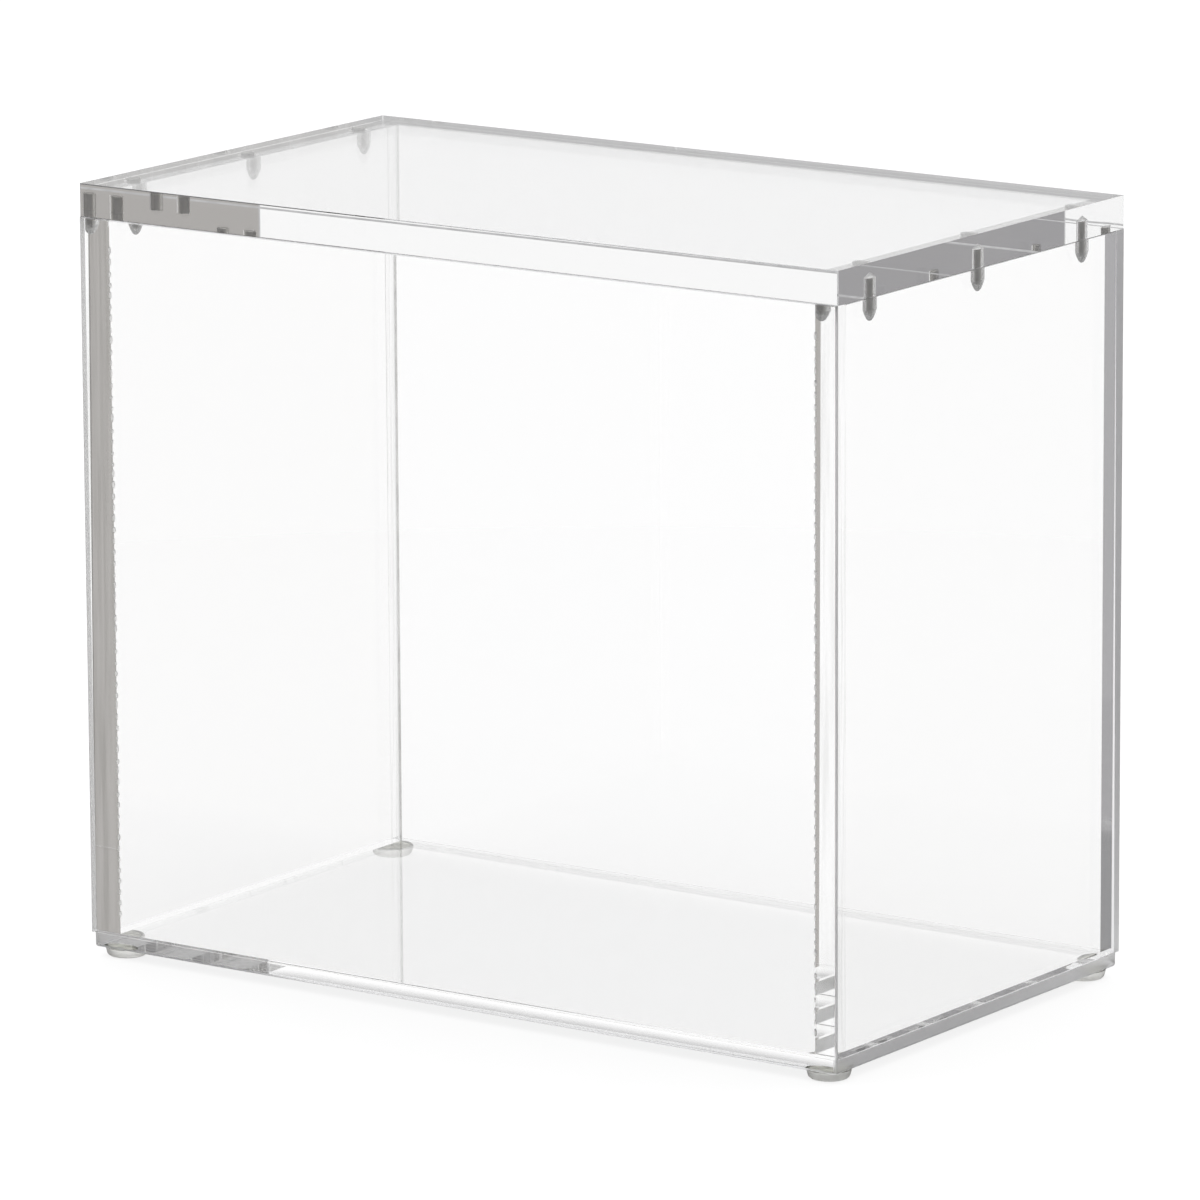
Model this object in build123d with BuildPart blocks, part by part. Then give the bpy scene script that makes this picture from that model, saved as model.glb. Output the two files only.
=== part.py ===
from build123d import *
import os
from math import radians, tan

# A clear acrylic storage box with a thick lift-off lid, located by six steel pins.
# Millimetres. +X is right, +Y is rear, +Z is up, and the front panel faces -Y.
# The origin lies on the surface that the feet stand on, under the middle of the box.

# Outside of the box, and the sheets that it is cut from
box_width = 256.0
box_depth = 145.0
wall_height = 207.5
panel_sheet = 4.4
base_sheet = 4.4
side_sheet = 8.7
lid_sheet = 9.5

# The base is cut a little smaller than the body all round, and the lid a little shallower
base_set_back = 0.7
lid_end_set_back = 0.5

# Polished edges: the round on the lid's edges, and on the body's upright corners
lid_edge_round = 0.5
corner_round = 0.3

# Locating pins, three to a side, in a line a little inside the middle of each side wall
pin_diameter = 4.0
pin_length = 10.0
pin_embed = 4.8
pin_chamfer = 0.4
pin_side_inset = 4.85
pin_end_inset = 14.7

# Holes for the pins: drilled snug in the lid, wide and tapered in the walls
lid_hole_clearance = 0.4
wall_hole_clearance = 0.9
taper_lead = 1.3
pilot_undersize = 0.5
drill_point_angle = 118.0
taper_angle = 64.0

# Stick-on feet, each on a thin disc of adhesive
foot_top_diameter = 12.6
foot_taper = 0.7
foot_height = 2.6
foot_rim_chamfer = 0.7
foot_inset = 7.3
adhesive_thickness = 0.2
adhesive_margin = 0.3

# Levels from the surface up
foot_top_z = foot_height
base_bottom_z = foot_top_z + adhesive_thickness
base_top_z = base_bottom_z + base_sheet
joint_z = base_top_z + wall_height

# Places that several pieces share
wall_length = box_depth - 2 * panel_sheet
wall_x = (box_width - side_sheet) / 2
panel_y = (box_depth - panel_sheet) / 2
pin_x = box_width / 2 - pin_side_inset
pin_radius = pin_diameter / 2
pin_reach = pin_length - pin_embed
pin_spacing = wall_length / 2 - pin_end_inset
pin_rows = {"front": -pin_spacing, "middle": 0, "rear": pin_spacing}
sides = {"left": -1, "right": 1}
ends = {"front": -1, "rear": 1}

pieces = {}


def drill_point(radius):
    """Height of the cone that a drill leaves at the end of a blind hole."""
    return radius / tan(radians(drill_point_angle / 2))


def make_base_plate():
    """Base plate under all four walls, set back from their outside faces."""
    with BuildPart() as base_plate:
        with BuildSketch(Plane.XY.offset(base_bottom_z)):
            Rectangle(box_width - 2 * base_set_back, box_depth - 2 * base_set_back)
        extrude(amount=base_sheet)
        fillet(base_plate.edges().filter_by(Axis.Z), corner_round)
    return base_plate.part


def make_panel(end):
    """Front or back panel: full width, so that it covers the ends of the side walls."""
    with BuildPart() as panel:
        with BuildSketch(Plane.XY.offset(base_top_z)):
            with Locations((0, end * panel_y)):
                Rectangle(box_width, panel_sheet)
        extrude(amount=wall_height)
        corners = panel.edges().filter_by(Axis.Z).group_by(Axis.Y)
        fillet(corners[0] if end == ends["front"] else corners[-1], corner_round)
    return panel.part


def make_side_wall(side):
    """Thick side wall between the panels, with a blind tapered hole in its top for each pin."""
    hole_radius = pin_radius + wall_hole_clearance
    pilot_radius = pin_radius - pilot_undersize
    straight_depth = pin_reach - taper_lead
    taper_depth = (hole_radius - pilot_radius) / tan(radians(taper_angle / 2))
    hang_down = (Align.CENTER, Align.CENTER, Align.MAX)
    with BuildPart() as wall:
        with BuildSketch(Plane.XY.offset(base_top_z)):
            with Locations((side * wall_x, 0)):
                Rectangle(side_sheet, wall_length)
        extrude(amount=wall_height)
        with Locations([(side * pin_x, y, joint_z) for y in pin_rows.values()]):
            Hole(hole_radius, straight_depth)
        with Locations([(side * pin_x, y, joint_z - straight_depth) for y in pin_rows.values()]):
            Cone(pilot_radius, hole_radius, taper_depth, align=hang_down, mode=Mode.SUBTRACT)
        tip_z = joint_z - straight_depth - taper_depth
        with Locations([(side * pin_x, y, tip_z) for y in pin_rows.values()]):
            Cone(0, pilot_radius, drill_point(pilot_radius), align=hang_down, mode=Mode.SUBTRACT)
    return wall.part


def make_lid():
    """Thick slab with polished edges and a blind hole in its underside for each pin."""
    hole_radius = pin_radius + lid_hole_clearance
    stand_up = (Align.CENTER, Align.CENTER, Align.MIN)
    places = [(side * pin_x, y) for side in sides.values() for y in pin_rows.values()]
    with BuildPart() as lid:
        with BuildSketch(Plane.XY.offset(joint_z)):
            Rectangle(box_width, box_depth - 2 * lid_end_set_back)
        extrude(amount=lid_sheet)
        fillet(lid.edges(), lid_edge_round)
        with Locations([(x, y, joint_z) for x, y in places]):
            Cylinder(hole_radius, pin_embed, align=stand_up, mode=Mode.SUBTRACT)
        with Locations([(x, y, joint_z + pin_embed) for x, y in places]):
            Cone(hole_radius, 0, drill_point(hole_radius), align=stand_up, mode=Mode.SUBTRACT)
    return lid.part


def make_pin(side, y):
    """Steel dowel pin with chamfered ends, standing down out of the lid."""
    with BuildPart() as pin:
        with BuildSketch(Plane.XY.offset(joint_z - pin_reach)):
            with Locations((side * pin_x, y)):
                Circle(pin_radius)
        extrude(amount=pin_length)
        chamfer(pin.edges().filter_by(GeomType.CIRCLE), pin_chamfer)
    return pin.part


def foot_place(side, end):
    """Middle of a foot, the same inset from the box's side and end."""
    return side * (box_width / 2 - foot_inset), end * (box_depth / 2 - foot_inset)


def make_foot(side, end):
    """Clear round foot that tapers downwards to a broken rim."""
    x, y = foot_place(side, end)
    top_radius = foot_top_diameter / 2
    bottom_radius = top_radius - foot_taper
    with BuildPart() as foot:
        with BuildSketch(Plane(origin=(x, y, 0), x_dir=(1, 0, 0), z_dir=(0, -1, 0))):
            with BuildLine():
                Polyline((0, 0), (bottom_radius, 0), (top_radius, foot_height), (0, foot_height), close=True)
            make_face()
        revolve(axis=Axis((x, y, 0), (0, 0, 1)))
        chamfer(foot.edges().filter_by(GeomType.CIRCLE).sort_by(Axis.Z)[0], foot_rim_chamfer)
    return foot.part


def make_adhesive(side, end):
    """Thin disc of adhesive between a foot and the base plate."""
    with BuildPart() as adhesive:
        with BuildSketch(Plane.XY.offset(foot_top_z)):
            with Locations(foot_place(side, end)):
                Circle(foot_top_diameter / 2 - adhesive_margin)
        extrude(amount=adhesive_thickness)
    return adhesive.part


pieces["base_plate"] = make_base_plate()
pieces["front_panel"] = make_panel(ends["front"])
pieces["back_panel"] = make_panel(ends["rear"])
pieces["lid"] = make_lid()
for side_name, side in sides.items():
    pieces[f"{side_name}_wall"] = make_side_wall(side)
    for row_name, row_y in pin_rows.items():
        pieces[f"pin_{side_name}_{row_name}"] = make_pin(side, row_y)
    for end_name, end in ends.items():
        pieces[f"foot_{end_name}_{side_name}"] = make_foot(side, end)
        pieces[f"adhesive_{end_name}_{side_name}"] = make_adhesive(side, end)

os.makedirs("parts", exist_ok=True)
for name, piece in pieces.items():
    piece.label = name
    export_step(piece, f"parts/{name}.step")
print(f"{len(pieces)} pieces, {box_width} x {box_depth} x {joint_z + lid_sheet:.1f} mm")
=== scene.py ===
import logging
import math
from collections.abc import Callable
from dataclasses import dataclass
from enum import Enum, IntEnum

import bmesh
import bpy
from mathutils import Matrix, Vector
from mathutils.geometry import delaunay_2d_cdt


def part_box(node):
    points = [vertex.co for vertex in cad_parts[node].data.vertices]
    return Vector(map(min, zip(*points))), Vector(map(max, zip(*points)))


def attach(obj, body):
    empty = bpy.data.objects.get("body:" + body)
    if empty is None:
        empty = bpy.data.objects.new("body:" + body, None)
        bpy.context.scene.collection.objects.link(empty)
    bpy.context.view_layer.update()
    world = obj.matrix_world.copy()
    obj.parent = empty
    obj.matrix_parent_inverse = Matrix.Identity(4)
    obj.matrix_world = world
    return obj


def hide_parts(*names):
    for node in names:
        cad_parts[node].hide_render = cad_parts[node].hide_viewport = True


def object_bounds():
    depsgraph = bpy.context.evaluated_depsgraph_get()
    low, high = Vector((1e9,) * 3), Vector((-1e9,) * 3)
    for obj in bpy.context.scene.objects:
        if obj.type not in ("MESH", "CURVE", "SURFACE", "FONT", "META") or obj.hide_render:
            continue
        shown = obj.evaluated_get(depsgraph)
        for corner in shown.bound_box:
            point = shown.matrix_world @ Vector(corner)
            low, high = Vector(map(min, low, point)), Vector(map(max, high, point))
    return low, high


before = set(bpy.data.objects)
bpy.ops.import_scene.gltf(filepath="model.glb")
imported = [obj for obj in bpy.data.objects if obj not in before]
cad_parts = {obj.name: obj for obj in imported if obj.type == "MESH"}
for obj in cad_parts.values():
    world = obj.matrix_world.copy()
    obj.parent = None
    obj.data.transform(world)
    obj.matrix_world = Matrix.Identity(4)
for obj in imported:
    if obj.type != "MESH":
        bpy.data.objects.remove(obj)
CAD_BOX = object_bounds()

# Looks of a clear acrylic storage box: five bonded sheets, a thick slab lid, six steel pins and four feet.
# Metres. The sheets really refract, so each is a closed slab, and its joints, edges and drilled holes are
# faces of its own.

Socket = bpy.types.NodeSocket
Pair = tuple[float, float]
Triple = tuple[float, float, float]
Rgba = tuple[float, float, float, float]

LOG = logging.getLogger("acrylic_box")
MM = 0.001
BOX_BODY, LID_BODY = "box", "lid"
SIGNS = (-1, 1)

# The least part of a normal along an axis, for a flat face, for one that faces about that way and for a
# slanting one
FLAT, FACING, SLANTED = 0.9999, 0.99, 0.5

# How close two levels are that count as one, and the tolerances of a cut and of a marked circle
TOUCH, CUT_TOLERANCE, MARK_TOLERANCE = 1e-6, 1e-7, 1e-8

# Octaves of a smooth, a plain and a broken noise
SMOOTH, PLAIN, BROKEN = 1.0, 2.0, 3.0


class Side(Enum):
    """Left and right, as seen from the front."""

    LEFT = -1
    RIGHT = 1


class End(Enum):
    """Front and rear of the box."""

    FRONT = -1
    REAR = 1


class Skin(IntEnum):
    """What a face of a sheet is, in the order of the sheet's material slots."""

    FACE = 0
    EDGE = 1
    BOND = 2
    DRILLED = 3
    ROUND = 4
    SANDED = 5
    RUN = 6


def rgb(red: float, green: float, blue: float) -> Rgba:
    """An opaque colour."""
    return (red, green, blue, 1.0)


def grey(level: float) -> Rgba:
    """An opaque grey, or white where its level is 1 or more."""
    return rgb(level, level, level)


def stand_point(node: str) -> Vector:
    """The middle of the underside of a CAD node's box."""
    low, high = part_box(node)
    return Vector(((low.x + high.x) / 2, (low.y + high.y) / 2, low.z))


# Node trees


class Graph:
    """Short calls for building a node tree."""

    # A Mix node's colour sockets go by number, because its names are there once for each kind of data
    MIX_SHARE, MIX_FIRST, MIX_SECOND, MIX_RESULT = 0, 6, 7, 2

    def __init__(self, tree: bpy.types.NodeTree) -> None:
        """Starts from an emptied tree."""
        self.tree = tree
        tree.nodes.clear()

    def add(self, kind: str, inputs: dict | None = None, **settings: object) -> bpy.types.Node:
        """Adds a node.

        Args:
            kind: the node's type name.
            inputs: a value or a linked socket for each input, by name or number.
            settings: the node's own properties.

        Returns:
            The new node.
        """
        node = self.tree.nodes.new(kind)
        for name, value in settings.items():
            setattr(node, name, value)
        for key, value in (inputs or {}).items():
            if isinstance(value, Socket):
                self.tree.links.new(value, node.inputs[key])
            else:
                node.inputs[key].default_value = value
        return node

    def math(self, operation: str, *values: object) -> Socket:
        """Adds a Math node and gives its result."""
        return self.add("ShaderNodeMath", dict(enumerate(values)), operation=operation).outputs[0]

    def ramp(self, value: Socket, span: Pair, to: Pair = (0.0, 1.0)) -> Socket:
        """Adds a clamped Map Range.

        Args:
            value: what is mapped.
            span: the two values that become those of to.
            to: the two results.

        Returns:
            The mapped value.
        """
        inputs = {"Value": value, "From Min": span[0], "From Max": span[1], "To Min": to[0], "To Max": to[1]}
        return self.add("ShaderNodeMapRange", inputs).outputs[0]

    def noise(self, where: Socket, scale: float, detail: float, stretch: Triple = (1.0, 1.0, 1.0)) -> Socket:
        """Adds a noise texture on stretched coordinates.

        Args:
            where: the coordinates that it reads.
            scale: how fine the noise is, per metre.
            detail: the noise's octaves.
            stretch: the coordinates' scale on each axis.

        Returns:
            The noise value.
        """
        placed = self.add("ShaderNodeMapping", {"Vector": where, "Scale": stretch}).outputs[0]
        inputs = {"Vector": placed, "Scale": scale, "Detail": detail}
        return self.add("ShaderNodeTexNoise", inputs).outputs["Fac"]

    def tone(self, share: Socket, first: object, second: object) -> Socket:
        """Adds a colour mix.

        Args:
            share: 0 for the first colour and 1 for the second.
            first: the first colour, or a socket that gives it.
            second: the second colour, or a socket that gives it.

        Returns:
            The mixed colour.
        """
        inputs = {self.MIX_SHARE: share, self.MIX_FIRST: first, self.MIX_SECOND: second}
        return self.add("ShaderNodeMix", inputs, data_type="RGBA").outputs[self.MIX_RESULT]

    def blend(self, share: Socket, first: Socket, second: Socket) -> Socket:
        """Adds a Mix Shader and gives its result."""
        return self.add("ShaderNodeMixShader", {0: share, 1: first, 2: second}).outputs[0]

    def bump(self, height: Socket, depth: float) -> Socket:
        """Adds a Bump node and gives its normal."""
        return self.add("ShaderNodeBump", {"Height": height, "Distance": depth, "Strength": 1.0}).outputs[0]

    def principled(self, inputs: dict) -> Socket:
        """Adds a Principled BSDF and gives its shader."""
        return self.add("ShaderNodeBsdfPrincipled", inputs).outputs[0]


def new_material(name: str) -> tuple[bpy.types.Material, Graph, Socket]:
    """Starts a node material.

    Args:
        name: the material's name.

    Returns:
        The material, its graph and the object coordinates in it.
    """
    material = bpy.data.materials.new(name)
    material.use_nodes = True
    graph = Graph(material.node_tree)
    where = graph.add("ShaderNodeTexCoord").outputs["Object"]
    return material, graph, where


def close_material(graph: Graph, surface: Socket, shadow: Rgba | None = None) -> None:
    """Ends a material, and lets lamp light through it where it is clear.

    Args:
        graph: the material's graph.
        surface: the shader that is seen.
        shadow: the tint of the light that passes through one face of it, or None for a solid material.
    """
    if shadow is not None:
        through = graph.add("ShaderNodeBsdfTransparent", {"Color": shadow}).outputs[0]
        is_shadow = graph.add("ShaderNodeLightPath").outputs["Is Shadow Ray"]
        surface = graph.blend(is_shadow, surface, through)
    graph.add("ShaderNodeOutputMaterial", {"Surface": surface})


# Finishes


@dataclass(frozen=True)
class AcrylicFinish:
    """Refracting clear acrylic, as a sheet face, an edge or a drilled wall.

    Its surface has a slow ripple, and its polish has faint marks, where it goes from the first roughness to
    the second.
    """

    name: str
    ripple_scale: float
    ripple_depth: float
    ripple_stretch: Triple = (1.0, 1.0, 1.0)
    roughness: Pair = (0.0, 0.12)
    mark_span: Pair = (0.74, 0.86)
    mark_scale: float = 260.0
    mark_stretch: Triple = (1.0, 1.0, 0.06)
    ior: float = 1.49
    # A grey tint below white is painted shade: it dims the clear acrylic where the lid, its edges, the
    # rounds, the sanded ends and the drilled walls should read darker
    tint: Rgba = (1.0, 1.0, 1.0, 1.0)
    shadow: Rgba = (0.96, 0.965, 0.965, 1.0)

    def make(self) -> bpy.types.Material:
        """Builds the material.

        Returns:
            The material.
        """
        material, graph, where = new_material(self.name)
        ripple = graph.noise(where, self.ripple_scale, SMOOTH, self.ripple_stretch)
        marks = graph.noise(where, self.mark_scale, BROKEN, self.mark_stretch)
        inputs = {
            "Base Color": self.tint,
            "Roughness": graph.ramp(marks, self.mark_span, self.roughness),
            "IOR": self.ior,
            "Transmission Weight": 1.0,
            "Normal": graph.bump(ripple, self.ripple_depth),
        }
        close_material(graph, graph.principled(inputs), self.shadow)
        return material


@dataclass(frozen=True)
class BondFinish:
    """A bond or a wetted-out face, which light passes straight through, with faint streaks where it ran.
    Dimmed grey, it also gives the lid's rounds a painted shade.
    """

    name: str
    clear: Rgba = (0.985, 0.985, 0.985, 1.0)
    streak: Rgba = (0.965, 0.965, 0.965, 1.0)
    streak_span: Pair = (0.42, 0.66)
    scale: float = 260.0
    stretch: Triple = (1.0, 1.0, 1.0)

    def make(self) -> bpy.types.Material:
        """Builds the material.

        Returns:
            The material.
        """
        material, graph, where = new_material(self.name)
        share = graph.ramp(graph.noise(where, self.scale, BROKEN, self.stretch), self.streak_span)
        tone = graph.tone(share, self.clear, self.streak)
        close_material(graph, graph.add("ShaderNodeBsdfTransparent", {"Color": tone}).outputs[0])
        return material


@dataclass(frozen=True)
class SteelFinish:
    """Ground steel, a little stained, with fine rings from the grinding wheel."""

    name: str
    dark: Rgba = (0.40, 0.39, 0.37, 1.0)
    light: Rgba = (0.56, 0.55, 0.53, 1.0)
    stain_scale: float = 380.0
    ring_scale: float = 5200.0
    ring_stretch: Triple = (0.02, 0.02, 1.0)
    ring_span: Pair = (0.3, 0.7)
    ring_depth: float = 0.0008 * MM
    roughness: Pair = (0.3, 0.42)

    def make(self) -> bpy.types.Material:
        """Builds the material.

        Returns:
            The material.
        """
        material, graph, where = new_material(self.name)
        rings = graph.noise(where, self.ring_scale, PLAIN, self.ring_stretch)
        stain = graph.noise(where, self.stain_scale, BROKEN)
        inputs = {
            "Base Color": graph.tone(stain, self.dark, self.light),
            "Metallic": 1.0,
            "Roughness": graph.ramp(rings, self.ring_span, self.roughness),
            "Normal": graph.bump(rings, self.ring_depth),
        }
        close_material(graph, graph.principled(inputs))
        return material


@dataclass(frozen=True)
class SoftClearFinish:
    """Clear soft plastic or film, a little hazy, that darkens in patches."""

    name: str
    clear: Rgba
    dull: Rgba
    roughness: Pair
    shadow: Rgba
    cloud_scale: float = 240.0
    dull_span: Pair = (0.35, 0.7)
    rough_span: Pair = (0.3, 0.75)
    grain_scale: float = 900.0
    grain_depth: float = 0.01 * MM
    ior: float = 1.48
    clearness: float = 0.85

    def make(self) -> bpy.types.Material:
        """Builds the material.

        Returns:
            The material.
        """
        material, graph, where = new_material(self.name)
        cloud = graph.noise(where, self.cloud_scale, BROKEN)
        grain = graph.noise(where, self.grain_scale, PLAIN)
        inputs = {
            "Base Color": graph.tone(graph.ramp(cloud, self.dull_span), self.clear, self.dull),
            "Roughness": graph.ramp(cloud, self.rough_span, self.roughness),
            "IOR": self.ior,
            "Transmission Weight": self.clearness,
            "Normal": graph.bump(grain, self.grain_depth),
        }
        close_material(graph, graph.principled(inputs), self.shadow)
        return material


class Finishes:
    """Every material of the box, made once."""

    def __init__(self) -> None:
        """Builds the materials."""
        polished = {"ripple_scale": 60.0, "ripple_depth": 0.012 * MM, "mark_span": (0.7, 0.86)}
        cast = {"ripple_scale": 9.0, "ripple_depth": 0.002 * MM}
        cut = {"ripple_scale": 300.0, "ripple_depth": 0.01 * MM}
        self.face = AcrylicFinish("clear_sheet_face", tint=grey(0.99), **cast).make()
        # Painted shade: the lid's faces are tinted grey, which is not the acrylic's own colour, so the lid's
        # top reads greyer
        self.lid_face = AcrylicFinish("clear_lid_face", tint=rgb(0.86, 0.86, 0.863), **cast).make()
        self.edge = AcrylicFinish("clear_polished_edge", **polished).make()
        # Painted shade: the lid's edges are tinted grey too, so their bands read darker
        self.lid_edge = AcrylicFinish("clear_lid_edge", tint=grey(0.88), **polished).make()
        # Painted shade: the rounded edges are tinted grey, which is not the acrylic's own colour, so they
        # read as dark lines
        self.round = AcrylicFinish(
            "clear_broken_edge", roughness=(0.4, 0.5), tint=rgb(0.72, 0.72, 0.73), **cut
        ).make()
        # Painted shade: the sanded ends are tinted a little grey, which sets how dark they read
        self.sanded = AcrylicFinish(
            "clear_sanded_edge", roughness=(0.55, 0.65), tint=rgb(0.94, 0.94, 0.95), **cut
        ).make()
        # Painted shade: the drilled walls are tinted dark grey so the holes read as grey as their
        # surroundings
        self.drilled = AcrylicFinish(
            "clear_drilled_wall",
            ripple_scale=2400.0,
            ripple_depth=0.006 * MM,
            ripple_stretch=(0.2, 0.2, 1.0),
            roughness=(0.55, 0.65),
            tint=rgb(0.66, 0.66, 0.65),
        ).make()
        self.cement = AcrylicFinish(
            "dried_cement",
            ripple_scale=700.0,
            ripple_depth=0.05 * MM,
            roughness=(0.5, 0.6),
            tint=rgb(0.92, 0.92, 0.91),
        ).make()
        self.bond = BondFinish(
            "corner_bond",
            clear=grey(0.995),
            streak=rgb(0.94, 0.94, 0.937),
            scale=900.0,
            stretch=(1.0, 1.0, 0.03),
        ).make()
        self.floor_bond = BondFinish("floor_bond").make()
        self.run = BondFinish(
            "cement_run", clear=rgb(0.66, 0.66, 0.655), streak=rgb(0.54, 0.54, 0.535), scale=120.0
        ).make()
        # Painted shade: the lid's rounds pass light straight through, dimmed grey, so they read as dark edge
        # lines
        self.lid_round = BondFinish(
            "broken_lid_edge", clear=rgb(0.6, 0.6, 0.605), streak=rgb(0.52, 0.52, 0.525)
        ).make()
        self.wetted = BondFinish(
            "wetted_adhesive", clear=rgb(0.86, 0.86, 0.84), streak=rgb(0.72, 0.72, 0.70)
        ).make()
        self.steel = SteelFinish("ground_steel").make()
        self.foot = SoftClearFinish(
            "clear_soft_foot",
            clear=rgb(0.95, 0.945, 0.925),
            dull=rgb(0.85, 0.845, 0.82),
            roughness=(0.3, 0.5),
            shadow=rgb(0.86, 0.86, 0.85),
        ).make()
        self.adhesive = SoftClearFinish(
            "clear_adhesive_film",
            clear=rgb(0.8, 0.8, 0.78),
            dull=rgb(0.66, 0.66, 0.63),
            roughness=(0.2, 0.4),
            shadow=rgb(0.9, 0.9, 0.89),
        ).make()

    def sheet(self, **other: bpy.types.Material) -> list[bpy.types.Material]:
        """The materials of one sheet, in the order of Skin.

        Args:
            other: the materials of this sheet that aren't the usual ones, by the name of their Skin.

        Returns:
            The materials.
        """
        usual = {
            Skin.FACE: self.face,
            Skin.EDGE: self.edge,
            Skin.BOND: self.bond,
            Skin.DRILLED: self.drilled,
            Skin.ROUND: self.round,
            Skin.SANDED: self.sanded,
            Skin.RUN: self.run,
        }
        return [other.get(skin.name.lower(), usual[skin]) for skin in Skin]


# Sheets


@dataclass(frozen=True)
class BlindHole:
    """A drilled blind hole, as radius and depth at each change of its wall."""

    steps: tuple[Pair, ...]
    tip_depth: float
    segments: int = 40


class Slab:
    """A closed slab of sheet: polished edges, joints marked out on it, and drilled holes."""

    # The mode of triangulation that keeps only what is inside the outline
    INSIDE_OUTLINE = 1
    CRISP_ANGLE = math.radians(25)

    def __init__(self, low: Vector, high: Vector) -> None:
        """Starts from a plain block.

        Args:
            low: its lowest corner.
            high: its highest corner.
        """
        self.low, self.high = low.copy(), high.copy()
        self.bm = bmesh.new()
        bmesh.ops.create_cube(self.bm, size=1.0)
        for vert in self.bm.verts:
            vert.co = Vector(self.high[i] if vert.co[i] > 0 else self.low[i] for i in range(3))
        self.bm.normal_update()

    def level(self, axis: int, sign: int) -> float:
        """Where one of the block's outside planes is on its axis."""
        return self.high[axis] if sign > 0 else self.low[axis]

    def break_edges(self, edges: set[tuple[int, int, int]], width: float, segments: int = 3) -> None:
        """Rounds some edges of the block.

        Args:
            edges: each edge by the side that it is on along x, y and z, and 0 along its own length.
            width: the round's width.
            segments: the facets across the round.
        """
        middle, half = (self.low + self.high) / 2, (self.high - self.low) / 2
        chosen = []
        for edge in self.bm.edges:
            at = (edge.verts[0].co + edge.verts[1].co) / 2 - middle
            if tuple(round(at[i] / half[i]) for i in range(3)) in edges:
                chosen.append(edge)
        settings = {"offset_type": "OFFSET", "segments": segments, "profile": 0.5, "affect": "EDGES"}
        bmesh.ops.bevel(self.bm, geom=chosen, offset=width, **settings)

    def pull(self, axis: int, at: float, by: float) -> None:
        """Moves the vertices of one plane along its axis.

        Args:
            axis: the axis that the plane is square to.
            at: the plane's place on that axis.
            by: how far they move.
        """
        for vert in self.bm.verts:
            if abs(vert.co[axis] - at) < TOUCH:
                vert.co[axis] += by

    def thin(self, side: int, by: float) -> None:
        """Thins the slab evenly towards its top, from one side.

        Args:
            side: the side along x that it is thinned from.
            by: how much thinner its top is.
        """
        middle = (self.low.x + self.high.x) / 2
        for vert in self.bm.verts:
            if (vert.co.x - middle) * side > 0:
                vert.co.x -= side * by * (vert.co.z - self.low.z) / (self.high.z - self.low.z)

    def split(self, axis: int, at: float) -> None:
        """Cuts the block's faces along a plane, so that a joint's border is an edge.

        Args:
            axis: the axis that the plane is square to.
            at: the plane's place on that axis.
        """
        normal = Vector((0, 0, 0))
        normal[axis] = 1
        geometry = self.bm.verts[:] + self.bm.edges[:] + self.bm.faces[:]
        plane = {"plane_co": normal * at, "plane_no": normal}
        bmesh.ops.bisect_plane(self.bm, geom=geometry, dist=CUT_TOLERANCE, **plane)

    def flat_faces(self, axis: int, sign: int) -> list[bmesh.types.BMFace]:
        """Finds the faces that lie in one outside plane of the block.

        Args:
            axis: the axis that the plane is square to.
            sign: which of the two planes.

        Returns:
            The faces.
        """
        level = self.level(axis, sign)
        self.bm.normal_update()
        return [
            face
            for face in self.bm.faces
            if face.normal[axis] * sign > FLAT and abs(face.calc_center_median()[axis] - level) < TOUCH
        ]

    def mark_circles(
        self, axis: int, sign: int, places: list[Vector], radius: float, segments: int
    ) -> list[list[bmesh.types.BMVert]]:
        """Marks circles out on one outside plane.

        Args:
            axis: the axis that the plane is square to.
            sign: which of the two planes.
            places: the circles' middles.
            radius: their radius.
            segments: their sides.

        Returns:
            The vertices of each circle, in order.
        """
        faces = self.flat_faces(axis, sign)
        if len(faces) > 1:
            faces = bmesh.ops.dissolve_faces(self.bm, faces=faces, use_verts=False)["region"]
        face = faces[0]
        u, v = (i for i in range(3) if i != axis)
        rim = [loop.vert for loop in face.loops]
        verts, edges, circles = list(rim), [], []
        for place in places:
            ring = []
            for step in range(segments):
                turn = math.tau * (step + 0.5) / segments
                point = Vector((0, 0, 0))
                point[u] = place[u] + radius * math.cos(turn)
                point[v] = place[v] + radius * math.sin(turn)
                point[axis] = self.level(axis, sign)
                ring.append(self.bm.verts.new(point))
            start = len(verts)
            verts += ring
            edges += [(start + i, start + (i + 1) % segments) for i in range(segments)]
            circles.append(ring)
        flat = [Vector((vert.co[u], vert.co[v])) for vert in verts]
        outline = [list(range(len(rim)))]
        marked = delaunay_2d_cdt(flat, edges, outline, self.INSIDE_OUTLINE, MARK_TOLERANCE)
        _, _, triangles, source, _, _ = marked
        self.bm.faces.remove(face)
        for triangle in triangles:
            made = self.bm.faces.new([verts[source[i][0]] for i in triangle])
            made.normal_update()
            if made.normal[axis] * sign < 0:
                made.normal_flip()
        return circles

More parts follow.
